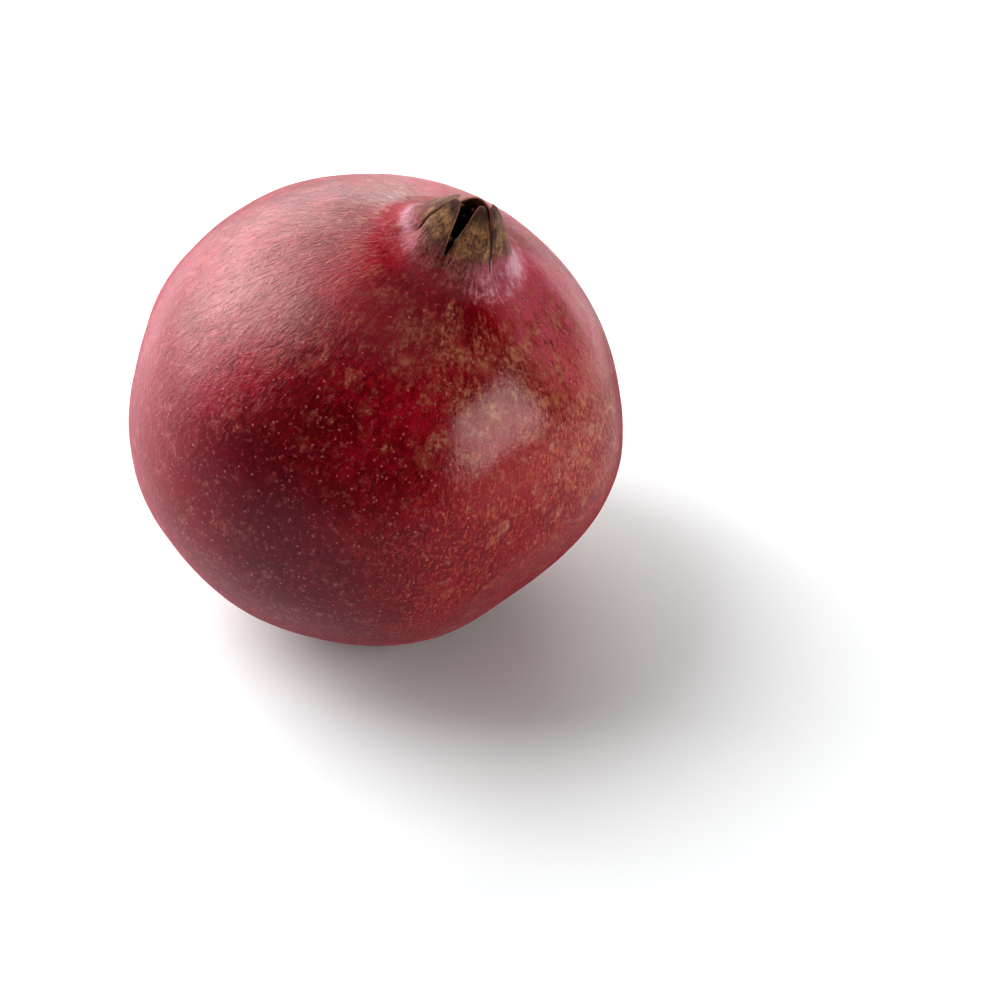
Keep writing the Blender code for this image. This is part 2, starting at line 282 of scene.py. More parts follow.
def on_body(longitude, latitude):
    """The direction of a place on the body, and the place."""
    lon = math.radians(longitude)
    lat = math.radians(latitude)
    way = Vector((math.cos(lat) * math.cos(lon), math.cos(lat) * math.sin(lon), math.sin(lat)))
    size = math.sqrt(
        (way.x ** 2 + way.y ** 2) / BODY_RADIUS ** 2 + way.z ** 2 / BODY_HALF_HEIGHT ** 2
    )
    return way, way / size


for longitude, lift in RIBS:
    lon = math.radians(longitude)
    rib_end = BODY_HALF_HEIGHT * math.sin(RIB_LATITUDE)
    pick(
        fruit,
        lambda co: abs(co.z) < rib_end and abs(math.atan2(co.y, co.x) - lon) < SAME_COLUMN,
    )
    swell = 1 + lift * MM / BODY_RADIUS
    bpy.ops.transform.resize(
        value=(swell, swell, 1),
        center_override=(0, 0, 0),
        use_proportional_edit=True,
        proportional_edit_falloff="SMOOTH",
        proportional_size=RIB_REACH,
    )
for longitude, latitude, lift in SWELLINGS:
    way, place = on_body(longitude, latitude)
    pick(fruit, lambda co: (co - place).length < SWELLING_MIDDLE)
    bpy.ops.transform.translate(
        value=way * lift * MM,
        use_proportional_edit=True,
        proportional_edit_falloff="SMOOTH",
        proportional_size=SWELLING_REACH,
    )

# The dimple at the stem end has a small level floor for the stem.
pick(fruit, lambda co: co.z < 0 and math.hypot(co.x, co.y) < DIMPLE_FLOOR_RADIUS)
bpy.ops.transform.translate(
    value=(0, 0, DIMPLE_DEPTH),
    use_proportional_edit=True,
    proportional_edit_falloff="SMOOTH",
    proportional_size=DIMPLE_REACH,
)
bpy.ops.object.mode_set(mode="OBJECT")


def crown_shift(height):
    """How far the crown's own lean carries a point sideways at a height."""
    rise = max(0.0, height - CROWN_LEAN_FOOT)
    shift = rise * math.tan(CROWN_LEAN) * min(1.0, rise / CROWN_LEAN_REACH)
    return Vector((shift * math.cos(CROWN_LEAN_TOWARD), shift * math.sin(CROWN_LEAN_TOWARD), 0))


# The crown is bent back a little, so that it leans less than the fruit does.
for vertex in fruit.data.vertices:
    if math.hypot(vertex.co.x, vertex.co.y) < CROWN_FOOT_RADIUS:
        vertex.co += crown_shift(vertex.co.z)

finer = fruit.modifiers.new("finer", "SUBSURF")
finer.levels = finer.render_levels = 1
bpy.ops.object.modifier_apply(modifier="finer")


def roughen(obj, name, size, strength, group=""):
    """Shallow unevenness of one size, pressed into the mesh itself."""
    texture = bpy.data.textures.new(name, "CLOUDS")
    texture.noise_scale = size
    texture.noise_depth = 2
    press = obj.modifiers.new(name, "DISPLACE")
    press.texture = texture
    press.texture_coords = "LOCAL"
    press.strength = strength
    press.mid_level = 0.5
    press.vertex_group = group
    bpy.ops.object.modifier_apply(modifier=name)


# The rind is never quite even: broad shallow waves, and on the crown small ones,
# which are full from a few millimetres above its foot.
CROWN_WAVES_FULL = 2.5
crown_group = fruit.vertex_groups.new(name="crown")
rises = [mark.value for mark in fruit.data.attributes["crown_rise"].data]
for index, rise in enumerate(rises):
    if rise > 0:
        crown_group.add([index], min(1.0, rise / CROWN_WAVES_FULL), "REPLACE")
roughen(fruit, "broad_waves", 16 * MM, 0.55 * MM)
roughen(fruit, "small_waves", 1.6 * MM, 0.35 * MM, "crown")

# Leaned over and set down, then flattened where it has settled on the surface.
start_edit(fruit)
bpy.ops.mesh.select_all(action="SELECT")
bpy.ops.transform.rotate(value=-LEAN, orient_axis="Y", center_override=(0, 0, 0))
bpy.ops.transform.translate(value=BODY_CENTRE)
bpy.ops.mesh.bisect(
    plane_co=(0, 0, 0), plane_no=(0, 0, -1), use_fill=True, clear_outer=True, threshold=ON_CUT
)
bpy.ops.mesh.select_all(action="SELECT")
bpy.ops.mesh.remove_doubles(threshold=WELD)
bpy.ops.mesh.normals_make_consistent(inside=False)
bpy.ops.object.mode_set(mode="OBJECT")
bpy.ops.object.shade_smooth_by_angle(angle=SMOOTH_ANGLE)


class Flow:
    """One output of a shader node. Sums on it add Math nodes, and node() any other."""

    def __init__(self, tree, socket=None):
        self.tree = tree
        self.socket = socket

    def node(self, kind, settings=None, sockets=None, output=0):
        """Add a node: its settings are set first, then its sockets' values or links."""
        made = self.tree.nodes.new(kind)
        for name, value in (settings or {}).items():
            if name == "stops":
                stops = made.color_ramp.elements
                while len(stops) < len(value):
                    stops.new(0.5)
                for stop, (place, colour) in zip(stops, value):
                    stop.position = place
                    stop.color = colour
            else:
                setattr(made, name, value)
        for name, value in (sockets or {}).items():
            if isinstance(value, Flow):
                self.tree.links.new(value.socket, made.inputs[name])
            else:
                made.inputs[name].default_value = value
        return Flow(self.tree, made.outputs[output])

    def maths(self, operation, first, second=0.0):
        return self.node("ShaderNodeMath", {"operation": operation}, {0: first, 1: second})

    def __add__(self, other):
        return self.maths("ADD", self, other)

    def __sub__(self, other):
        return self.maths("SUBTRACT", self, other)

    def __mul__(self, other):
        return self.maths("MULTIPLY", self, other)

    def __truediv__(self, other):
        return self.maths("DIVIDE", self, other)

    def __rsub__(self, other):
        return self.maths("SUBTRACT", other, self)

    __radd__ = __add__
    __rmul__ = __mul__

    def step(self, low, high):
        """0 below low, 1 above high, smooth between; high below low turns it over."""
        return self.node(
            "ShaderNodeMapRange",
            {"interpolation_type": "SMOOTHSTEP"},
            {"Value": self, "From Min": low, "From Max": high},
        )

    def ramp(self, *stops):
        """Colours along this value; each stop is a place and a paint-chart colour."""
        colours = [(place, linear(*colour)) for place, colour in stops]
        return self.node("ShaderNodeValToRGB", {"stops": colours}, {0: self})

    def over(self, colour, share):
        """Lay a colour over this one by a share."""
        return self.node(
            "ShaderNodeMix", {"data_type": "RGBA"}, {0: share, 6: self, 7: colour}, output=2
        )

    def noise(self, place, scale, detail, roughness, distortion=0.0):
        """Noise at a place, its patches smaller the larger the scale."""
        return self.node(
            "ShaderNodeTexNoise",
            None,
            {
                "Vector": place,
                "Scale": scale,
                "Detail": detail,
                "Roughness": roughness,
                "Distortion": distortion,
            },
        )


def linear(red, green, blue):
    """A paint-chart colour, 0 to 255, as the shader wants it."""
    shares = (c / 255 for c in (red, green, blue))
    return tuple(
        c / 12.92 if c <= 0.04045 else ((c + 0.055) / 1.055) ** 2.4 for c in shares
    ) + (1.0,)


class FruitPlace:
    """A point's place in millimetres in the upright fruit's own axes, how far it is
    from the long axis, and the patterns that are laid by its place."""

    def __init__(self, start):
        self.start = start
        self.upright = start.node(
            "ShaderNodeMapping",
            {"vector_type": "TEXTURE"},
            {
                "Vector": start.node("ShaderNodeTexCoord", output=3),
                "Location": BODY_CENTRE,
                "Rotation": (0, LEAN, 0),
                "Scale": (MM, MM, MM),
            },
        )
        self.x, self.y, self.z = [
            start.node("ShaderNodeSeparateXYZ", None, {0: self.upright}, n) for n in range(3)
        ]
        # The half square millimetre keeps it off 0 at the poles.
        self.spread = start.maths("SQRT", self.x * self.x + self.y * self.y + 0.5)

    def noise(self, scale, detail, roughness):
        """Even noise, alike in all directions."""
        return self.start.noise(self.upright, scale, detail, roughness)

    def lines(self, across, up, detail, roughness, distortion=0.0):
        """Noise drawn out in lines: how close they lie across, and how far up them a
        point is."""
        place = self.start.node(
            "ShaderNodeCombineXYZ",
            None,
            {0: self.x / self.spread * across, 1: self.y / self.spread * across, 2: up},
        )
        return self.start.noise(place, 1.0, detail, roughness, distortion)

    def fibres(self, across, along, roughness):
        """Lines straight up the crown or the stem."""
        return self.lines(across, self.z * along, 4.0, roughness)


class RindPlace(FruitPlace):
    """A point's place on the round of the rind as well: its latitude in radians and
    the way out from the fruit's middle."""

    def __init__(self, start):
        super().__init__(start)
        self.latitude = start.maths("ARCTAN2", self.z, self.spread)
        self.outward = start.node(
            "ShaderNodeVectorMath", {"operation": "NORMALIZE"}, {0: self.upright}
        )
        self.mark_zones()
        self.mark_crown()

    def streaks(self, across, along, detail=4.0, roughness=0.62, distortion=0.0):
        """Lines that run round the fruit from pole to pole."""
        return self.lines(across, self.latitude * along, detail, roughness, distortion)

    def cells(self, scale):
        """Uneven cells: how far a point is from its cell's middle, and two numbers
        drawn for the cell."""
        wander = self.start.node(
            "ShaderNodeTexNoise",
            None,
            {"Vector": self.upright, "Scale": 1.4, "Detail": 2.0},
            output=1,
        )
        uneven = self.start.node(
            "ShaderNodeVectorMath",
            {"operation": "MULTIPLY_ADD"},
            {0: wander, 1: (0.6, 0.6, 0.6), 2: self.upright},
        )
        distance, drawn = [
            self.start.node("ShaderNodeTexVoronoi", None, {"Vector": uneven, "Scale": scale}, n)
            for n in range(2)
        ]
        first, second = [
            self.start.node("ShaderNodeSeparateColor", None, {0: drawn}, n) for n in range(2)
        ]
        return distance, first, second

    def toward(self, longitude, latitude, inner, outer):
        """1 around one place of the rind, fading to 0; all in degrees."""
        dot = self.start.node(
            "ShaderNodeVectorMath",
            {"operation": "DOT_PRODUCT"},
            {0: self.outward, 1: on_body(longitude, latitude)[0]},
            output=1,
        )
        return dot.step(math.cos(math.radians(outer)), math.cos(math.radians(inner)))

    def around(self, longitude, low, high):
        """1 on the crown's side toward one longitude, fading to 0."""
        way = math.radians(longitude)
        return ((self.x * math.cos(way) + self.y * math.sin(way)) / self.spread).step(low, high)

    def mark_zones(self):
        """The parts of the rind that ripened or wore in their own way. Each is a
        longitude and a latitude, how far it reaches in full and how far it fades."""
        below_crown = self.latitude.step(1.22, 1.08)
        self.sunny = self.toward(-26, 22, 18, 62)
        self.low_sunny = self.toward(-42, 6, 18, 52)
        self.sunny_belly = self.toward(-55, 34, 4, 18)
        self.flank = self.toward(-20, 38, 6, 24)
        self.plum = self.toward(-108, -20, 15, 55)
        self.low_shade = self.toward(-98, -4, 24, 60)
        self.creased = self.toward(-168, 28, 17, 58) * self.latitude.step(1.32, 1.02)
        self.shoulder = self.latitude.step(0.30, 0.80) * below_crown
        self.band = self.toward(-42, 52, 14, 44) * below_crown
        self.far_shoulder = self.toward(-122, 56, 10, 34) * self.latitude.step(1.25, 1.12)

    def mark_crown(self):
        """The marks kept on the crown's points, how far up and in from the body's
        round they stand, and the veins and grain that the crown's colours follow."""
        self.rise, self.edge, self.cup = [
            self.start.node("ShaderNodeAttribute", {"attribute_name": mark}, output=2)
            for mark in MARKS
        ]
        past_foot = self.start.maths("MAXIMUM", self.spread - CROWN_FOOT_RADIUS / MM, 0.0)
        stem_half = self.z.step(0, -10)
        self.level = self.rise - past_foot - 20 * stem_half
        self.veins = self.fibres(17, 0.28, 0.66)
        self.grain = self.noise(1.7, 4.0, 0.66)
        self.soft = self.noise(0.55, 3.0, 0.6)
        unevenness = (self.veins - 0.5) * 2.0 + (self.soft - 0.5) * 5.0 + (self.grain - 0.5) * 2.5
        self.ragged = self.level + unevenness
        self.tips = (self.rise + (self.grain - 0.5) * 5.0).step(9.8, 12.6)
        self.crown_left = self.around(-164, 0.70, 0.97)


def ripen(at):
    """Ground colour: crimson in slow clouds and combed streaks, redder on the side
    that ripened in the sun and duller, more like plum, low on the other. A magenta
    tint low on the left is partly painted rim light, and a pale pink high on the
    left shoulder is painted sheen."""
    clouds = at.noise(0.05, 3.0, 0.55)
    combed = at.streaks(40, 17, 4.0, 0.7, 0.9)
    near_crown = at.spread.step(34, 19) * at.z.step(0, 10)
    combed = combed + (clouds - combed) * near_crown * 0.8
    ripeness = clouds * 0.42 + combed * 0.3 + at.noise(0.9, 4.0, 0.7) * 0.28
    skin = ripeness.ramp((0.39, (78, 0, 12)), (0.50, (121, 1, 26)), (0.61, (162, 18, 46)))
    skin = skin.over(linear(130, 2, 27), at.sunny * 0.5)
    skin = skin.over(linear(114, 4, 40), at.plum * 0.65)
    # Partly painted rim light: a magenta tint low on the left side, where the rind is also more
    # purple.
    skin = skin.over(linear(156, 36, 62), at.toward(-165, -8, 10, 58) * 0.5)
    # Painted sheen: a pale pink over the upper left shoulder.
    skin = skin.over(linear(204, 132, 136), at.toward(-153, 46, 4, 25) * 0.33)
    return skin, combed


def mottle(at, skin):
    """Olive mottling: fine streaky marks that gather into soft blotches, thickest on
    the shoulder below the crown, and rosettes where old blotches have spread."""
    blotches = at.streaks(18, 11) * 0.5 + at.noise(0.30, 4.0, 0.62) * 0.5
    marks = at.streaks(48, 36) * 0.5 + at.noise(1.0, 4.0, 0.66) * 0.5
    lean_to_olive = 0.03 * at.shoulder + 0.05 * at.band
    lean_to_olive = lean_to_olive + 0.04 * at.flank + 0.02 * at.far_shoulder
    kept_red = 0.03 * at.plum + 0.035 * at.toward(-92, 14, 12, 40) + 0.035 * at.low_sunny
    kept_red = kept_red + 0.02 * at.sunny_belly + 0.03 * at.toward(-100, 40, 6, 20)
    mottling = (blotches + lean_to_olive - kept_red).step(0.485, 0.60)
    olive = (at.noise(0.25, 2.0, 0.5) * 0.5 + marks * 0.5).ramp(
        (0.40, (148, 50, 52)), (0.50, (153, 83, 67)), (0.60, (176, 125, 96))
    )
    olive = olive.over(linear(166, 92, 86), at.plum * 0.6)
    # Over the creased shoulder the olive marks turn pale pink and fainter: partly painted sheen.
    olive = olive.over(linear(188, 98, 98), at.creased * 0.7)
    worn = mottling * (0.28 + 0.72 * marks.step(0.42, 0.60)) * (1 - 0.4 * at.creased)
    ring, ring_pick = at.cells(0.21)[:2]
    ring = ring + (marks - 0.5) * 0.8 + (blotches - 0.5) * 0.4
    ring_pick = (ring_pick * 0.6 + at.band * 0.5).step(0.72, 0.80)
    rosettes = ring.step(0.40, 0.22) * (0.35 + 0.65 * ring.step(0.06, 0.20))
    skin = skin.over(linear(172, 44, 48), at.sunny_belly * 0.4)
    # Painted highlight: a bright pink on the rind high on the right, beside the crown.
    skin = skin.over(linear(224, 120, 140), at.toward(0, 60, 15, 24) * 0.5)
    return skin.over(olive, worn * 0.85), olive, rosettes * ring_pick


def fleck(at, skin, combed):
    """Short orange flecks, most of them low on the sunny side, dark red streaks beside
    the crown, and brown scuffs on the shoulder behind the sunny side."""
    field = at.streaks(92, 46, 4.0, 0.72)
    skin = skin.over(linear(204, 112, 86), at.flank * field.step(0.46, 0.58) * 0.4)
    dark_streaks = at.toward(-104, 60, 4, 16) * combed.step(0.42, 0.56)
    skin = skin.over(linear(96, 6, 20), dark_streaks * 0.5)
    flecks = (field + 0.06 * at.low_sunny + 0.015 * at.sunny).step(0.60, 0.68)
    flecks = flecks * (1 - 0.8 * at.plum) * (1 - 0.8 * at.creased)
    skin = skin.over(linear(198, 100, 66), flecks * 0.6)
    scuffs = at.streaks(30, 14, 4.0, 0.7).step(0.52, 0.64) * at.toward(-16, 54, 3, 18)
    return skin.over(linear(98, 40, 34), scuffs * 0.7)


def prick_pores(at, skin):
    """Pale pores, small uneven dots, most of them low on the shaded side, and scurf
    in the same places."""
    pores, pore_pick, pore_size = at.cells(0.98)
    picked = (pore_pick - 0.84 + 0.64 * at.low_shade).step(0.0, 0.08)
    dots = (pores - 0.02 - 0.21 * pore_size).step(0.10, -0.04) * picked
    scurf = (at.noise(0.82, 3.0, 0.62) + 0.055 * at.low_shade).step(0.62, 0.70)
    skin = skin.over(linear(196, 124, 118), dots * 0.6)
    return skin.over(linear(160, 88, 84), scurf * 0.5), dots


def crease(at, skin):
    """Short fissures from pole to pole over the creased shoulder, darkened with
    painted shade, and the skin's own fine grain, which darkens it in specks all over."""
    fissures = at.streaks(64, 19, 3.0, 0.62, 0.4).step(0.54, 0.64) * at.creased
    grit = at.noise(2.3, 4.0, 0.75).step(0.52, 0.68)
    # Painted shade in the fissures.
    skin = skin.over(linear(134, 28, 48), fissures * 0.65)
    return skin.over(linear(64, 0, 10), grit * 0.6), fissures


def bloom_crown_foot(at, skin):
    """The crown's foot: pink bloom in ragged tongues, stronger on the right and
    weaker at the front, partly painted sheen, and pale down in tufts, painted paler
    on its left and far sides as highlights."""
    front = at.around(-98, 0.70, 0.95)
    right = at.around(-24, 0.62, 0.97)
    behind = at.around(140, 0.10, 0.80)
    pink = (at.veins * 0.35 + at.grain * 0.25 + at.soft * 0.4).ramp(
        (0.34, (134, 44, 58)), (0.50, (176, 98, 112)), (0.66, (216, 166, 176))
    )
    # Partly painted sheen: the pink is stronger on the right side and weaker at the front and far
    # side.
    bloom = (at.ragged + 0.9 * right - 0.8 * at.crown_left).step(-0.2, 2.6)
    bloom = bloom * (1 - 0.85 * front) * (1 - 0.7 * behind) * (1 - 0.6 * at.crown_left)
    skin = skin.over(pink, bloom)
    tufts = at.level + (at.soft - 0.5) * 1.6
    downy = tufts.step(0.4, 2.2) * tufts.step(5.2, 3.0)
    # Painted highlight: the down on the left side is painted paler pink.
    skin = skin.over(linear(200, 128, 146), at.crown_left * downy * 0.75)
    # Painted highlight: near-white on the down along the crown's left rim.
    painted_left_highlight = (at.level + (at.grain - 0.5) * 2.0).step(3.8, 1.8)
    painted_left_highlight = painted_left_highlight * at.around(177, 0.82, 0.98)
    skin = skin.over(linear(238, 204, 215), downy * painted_left_highlight * 0.5)
    # Painted rim light: near-white on the down along the crown's far right edge.
    painted_right_rim_light = at.around(14, 0.84, 0.99) * tufts.step(-0.2, 1.2) * tufts.step(5.0, 3.0)
    skin = skin.over(linear(240, 196, 212), painted_right_rim_light * 0.5)
    reddened = (at.ragged - 2.2 * right).step(1.0, 2.8)
    flushed = (at.grain * 0.5 + at.veins * 0.5).ramp((0.42, (96, 36, 44)), (0.60, (180, 110, 108)))
    return skin.over(flushed, reddened * 0.75)


def dry_lobes(at, skin):
    """The lobes, dried to mottled brown with purple bruises and dark edges and tips."""
    dried = at.ragged.step(3.2, 6.6)
    shreds = at.veins * 0.2 + at.grain * 0.22 + at.noise(3.4, 3.0, 0.7) * 0.14
    brown = (shreds + at.soft * 0.44).ramp(
        (0.40, (60, 36, 27)),
        (0.47, (112, 75, 50)),
        (0.55, (154, 114, 74)),
        (0.64, (194, 152, 104)),
    )
    skin = skin.over(brown, dried)
    bruised = (at.noise(0.42, 3.0, 0.6) + 0.08 * at.crown_left).step(0.50, 0.60)
    bruised = bruised * at.ragged.step(9.5, 5.5)
    skin = skin.over(linear(94, 46, 56), bruised * dried * 0.7)
    dark_edges = at.edge.step(0.60, 0.92) * dried * at.grain.step(0.3, 0.6)
    skin = skin.over(linear(60, 34, 27), dark_edges * 0.7)
    return skin.over(linear(66, 30, 23), at.tips * 0.75)


def open_crown(at, skin):
    """The two closed cracks between lobes, painted dark with shadow down their
    length, the inside of the cup, painted dark toward its floor as shade and reddish
    toward the lobes' tips, and the pale lip of each lobe."""
    shift = (at.z - CROWN_LEAN_FOOT / MM) * math.tan(CROWN_LEAN)
    own_x = at.x - shift * math.cos(CROWN_LEAN_TOWARD)
    own_y = at.y - shift * math.sin(CROWN_LEAN_TOWARD)
    off_cracks = 1.0
    for crack, sway in ((CRACK_ANGLE, CRACK_SWAY), (LOBES[0][0], 0.0)):
        crack = math.radians(crack) + sway
        beside = at.start.maths("ABSOLUTE", own_y * math.cos(crack) - own_x * math.sin(crack))
        ahead = own_x * math.cos(crack) + own_y * math.sin(crack)
        off_cracks = (1 - beside.step(1.1, 0.7) * ahead.step(1.0, 2.5)) * off_cracks
        # Painted shadow: a near-black line down each closed crack.
        dark = beside.step(0.6, 0.25) * ahead.step(2.0, 4.0) * at.rise.step(2.2, 3.2)
        skin = skin.over(linear(26, 14, 11), dark * 0.92)
    # Painted shade: the cup's inside darkens toward its floor.
    inside = (at.rise * 0.07 + at.grain * 0.3).ramp((0.50, (34, 18, 12)), (0.80, (166, 84, 60)))
    skin = skin.over(inside, at.cup)
    lip = at.edge.step(0.93, 0.985) * at.rise.step(3.0, 5.0) * off_cracks
    return skin.over(linear(152, 108, 80), lip * (1 - 0.7 * at.tips) * 0.75)


def rind_relief(at, dots, fissures):
    """Relief, in millimetres: fine leather grain, combed pits that are deepest on the
    creased shoulder, pores, and on the crown its veins and warts."""
    leather = at.noise(1.3, 3.0, 0.6)
    pits = at.streaks(32, 25, 3.0, 0.62, 0.8)
    on_rind = leather * 0.05 + pits * (0.03 + 0.34 * at.creased)
    on_rind = on_rind + dots * 0.03 - fissures * 0.06
    on_lobes = at.veins * 0.45 + at.grain * 0.45
    share = at.level.step(-0.8, 2.0)
    relief = on_rind * (1 - share) + on_lobes * share
    return at.start.node("ShaderNodeBump", None, {"Distance": MM, "Height": relief})


def make_rind():
    """The skin: deep crimson under olive and orange mottling that runs from pole to
    pole, pale pores, and the dried brown crown with its pink downy foot."""
    material = bpy.data.materials.new("pomegranate_rind")
    material.use_nodes = True
    tree = material.node_tree
    at = RindPlace(Flow(tree))
    skin, combed = ripen(at)
    skin, olive, rosettes = mottle(at, skin)
    skin = fleck(at, skin, combed)
    skin = skin.over(olive, rosettes * 0.8)
    skin, dots = prick_pores(at, skin)
    skin, fissures = crease(at, skin)
    skin = bloom_crown_foot(at, skin)
    skin = dry_lobes(at, skin)
    skin = open_crown(at, skin)
    bump = rind_relief(at, dots, fissures)

    # Gloss: the rind is waxed leather, duller where it is creased or low on the shaded
    # side, and its wax catches the light toward the far and left rims.
    edge_on = at.start.node("ShaderNodeLayerWeight", None, {"Blend": 0.5}, 1).step(0.55, 1.0)
    pale_edge = edge_on * at.toward(-135, 30, 22, 50)
    edge_on = edge_on - pale_edge
    sunny_edge = edge_on * at.toward(-14, 14, 24, 44)
    far_edge = edge_on * at.toward(-30, 58, 10, 22)
    polish = 0.4 * at.creased * (1 - 0.7 * edge_on) + 0.45 * pale_edge + 0.6 * far_edge
    dullness = 0.18 + (combed - 0.5) * 0.16 + dots * 0.1
    dullness = dullness + 0.22 * at.creased + 0.16 * at.low_shade
    dullness = dullness + 0.24 * edge_on + 0.3 * sunny_edge
    wax = tree.nodes["Principled BSDF"]
    tree.links.new(skin.socket, wax.inputs["Base Color"])
    tree.links.new(dullness.socket, wax.inputs["Roughness"])
    tree.links.new(polish.socket, wax.inputs["Coat Weight"])
    tree.links.new(bump.socket, wax.inputs["Normal"])
    wax.inputs["IOR"].default_value = 1.42
    wax.inputs["Coat Roughness"].default_value = 0.32
    wax.inputs["Sheen Weight"].default_value = 0.22
    wax.inputs["Sheen Roughness"].default_value = 0.3
    wax.inputs["Sheen Tint"].default_value = linear(255, 130, 155)

    # The crown is dry and downy, and so in part is the rind close beside it.
    down = at.start.node(
        "ShaderNodeBsdfPrincipled",
        None,
        {
            "Base Color": skin,
            "Roughness": 0.72,
            "Normal": bump,
            "Sheen Weight": 0.35,
            "Sheen Roughness": 0.35,
            "Sheen Tint": linear(255, 226, 230),
        },
    )
    dry = at.ragged.step(-1.8, 0.8) + 0.6 * at.toward(-102, 61, 6, 18)
    both = at.start.node(
        "ShaderNodeMixShader", None, {0: dry, 1: Flow(tree, wax.outputs[0]), 2: down}
    )
    tree.links.new(both.socket, tree.nodes["Material Output"].inputs["Surface"])
    return material


fruit.data.materials.append(make_rind())
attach(fruit, "root")
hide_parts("fruit")


def lay_down(obj):
    """Lean a finished upright piece over with the fruit and move it into place."""
    start_edit(obj)
    bpy.ops.mesh.select_all(action="SELECT")
    bpy.ops.mesh.normals_make_consistent(inside=False)
    bpy.ops.transform.rotate(value=-LEAN, orient_axis="Y", center_override=(0, 0, 0))
    bpy.ops.transform.translate(value=BODY_CENTRE)
    bpy.ops.object.mode_set(mode="OBJECT")
    bpy.ops.object.shade_smooth_by_angle(angle=SMOOTH_ANGLE)


# ---------------------------------------------------------------------------
# The stem stub: what the picker's shears left of the woody stalk, a short peg of
# fibrous bark with a pale cut end, standing in the dimple.
# ---------------------------------------------------------------------------
STEM_RADIUS = 2.3 * MM
STEM_LENGTH = 3.2 * MM
STEM_TOP = -42.2 * MM
STEM_RINGS = (0.12, 0.25, 0.4, 0.55, 0.7, 0.85)
STEM_FOOT_SPREAD = 1.10
STEM_FOOT_REACH = 1.4 * MM

# Steps across the cut end, each how far in and how far out, in millimetres.
CUT_STEPS = [(0.25, 0.15), (0.9, 0), (0.45, -0.12), (0.25, -0.15)]

bpy.ops.object.select_all(action="DESELECT")
bpy.ops.mesh.primitive_cylinder_add(vertices=40, radius=STEM_RADIUS, depth=STEM_LENGTH)
stem = bpy.context.object
stem.name = "cut_stem_stub"
start_edit(stem)
bpy.ops.mesh.select_all(action="SELECT")
bpy.ops.transform.translate(value=(0, 0, STEM_TOP - STEM_LENGTH / 2))
for share in STEM_RINGS:
    bpy.ops.mesh.select_all(action="SELECT")
    bpy.ops.mesh.bisect(
        plane_co=(0, 0, STEM_TOP - share * STEM_LENGTH), plane_no=(0, 0, 1), threshold=ON_CUT
    )
# The foot widens into the dimple; the cut end is rounded over and its pith sunk.
pick(stem, lambda co: co.z > STEM_TOP - 0.1 * STEM_LENGTH)
bpy.ops.transform.resize(
    value=(STEM_FOOT_SPREAD, STEM_FOOT_SPREAD, 1),
    center_override=(0, 0, STEM_TOP),
    use_proportional_edit=True,
    proportional_edit_falloff="SMOOTH",
    proportional_size=STEM_FOOT_REACH,
)
pick(stem, lambda co: co.z < STEM_TOP - 0.95 * STEM_LENGTH)
bpy.ops.mesh.select_mode(type="FACE")
for inward, out in CUT_STEPS:
    bpy.ops.mesh.inset(thickness=inward * MM, depth=out * MM)
bpy.ops.mesh.poke()
bpy.ops.object.mode_set(mode="OBJECT")
roughen(stem, "bark_waves", 1.1 * MM, 0.32 * MM)
lay_down(stem)


def make_bark():
    """Grey-brown fibres down the side, paler wood rings across the cut."""
    material = bpy.data.materials.new("cut_stem_wood")
    material.use_nodes = True
    tree = material.node_tree
    shader = tree.nodes["Principled BSDF"]
    at = FruitPlace(Flow(tree))
    fibres = at.fibres(7, 0.4, 0.6)
    grain = at.noise(3.0, 3.0, 0.6)
    bark = (fibres * 0.7 + grain * 0.3).ramp(
        (0.35, (58, 40, 28)), (0.50, (104, 78, 54)), (0.68, (148, 120, 88))
    )
    rings = at.start.maths("SINE", at.spread * 11 + grain * 5).step(0.2, 1.0) * 0.5
    cut = rings.ramp((0.0, (168, 138, 98)), (1.0, (122, 92, 60)))
    cut = cut.over(linear(66, 46, 32), at.spread.step(0.95, 0.65))
    above_cut = at.z - (STEM_TOP - STEM_LENGTH) / MM
    end = above_cut.step(0.35, 0.15) * at.spread.step(2.25, 2.0)
    tree.links.new(bark.over(cut, end).socket, shader.inputs["Base Color"])
    bump = at.start.node(
        "ShaderNodeBump", None, {"Distance": MM, "Height": fibres * 0.35 + grain * 0.12}
    )
    tree.links.new(bump.socket, shader.inputs["Normal"])
    shader.inputs["Roughness"].default_value = 0.78
    return material


stem.data.materials.append(make_bark())
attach(stem, "root")
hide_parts("stem_stub")

# ---------------------------------------------------------------------------
# The style: the flower's withered thin stalk with a knob on top, still standing
# in the middle of the cup.
# ---------------------------------------------------------------------------
STYLE_FOOT = CUP_FLOOR + 0.8 * MM
STYLE_RINGS = [(0.0, 0.55), (0.5, 0.42), (1.5, 0.38), (3.0, 0.34), (4.2, 0.36), (4.7, 0.52),
               (5.05, 0.62), (5.35, 0.54), (5.5, 0.30)]


def grow_stalk(name, foot, rings, sides):
    """A closed stalk of rings, each a height and a radius in millimetres."""
    bpy.ops.object.select_all(action="DESELECT")
    bpy.ops.mesh.primitive_circle_add(
        vertices=sides, radius=rings[0][1] * MM, fill_type="NGON", location=(0, 0, 0)
    )
    stalk = bpy.context.object
    stalk.name = name
    start_edit(stalk)
    bpy.ops.mesh.select_all(action="SELECT")
    bpy.ops.transform.translate(value=(0, 0, foot + rings[0][0] * MM))
    for (low, low_radius), (high, high_radius) in zip(rings, rings[1:]):
        grow_ring((high - low) * MM, low_radius, high_radius, foot + high * MM)
    bpy.ops.object.mode_set(mode="OBJECT")
    return stalk


style = grow_stalk("withered_style", STYLE_FOOT, STYLE_RINGS, 16)
for vertex in style.data.vertices:
    height = (vertex.co.z - STYLE_FOOT) / MM
    bend = 0.02 * height ** 2 * MM
    vertex.co += Vector((bend, 0.4 * bend, 0)) + crown_shift(vertex.co.z)
roughen(style, "withering", 0.7 * MM, 0.12 * MM)
lay_down(style)


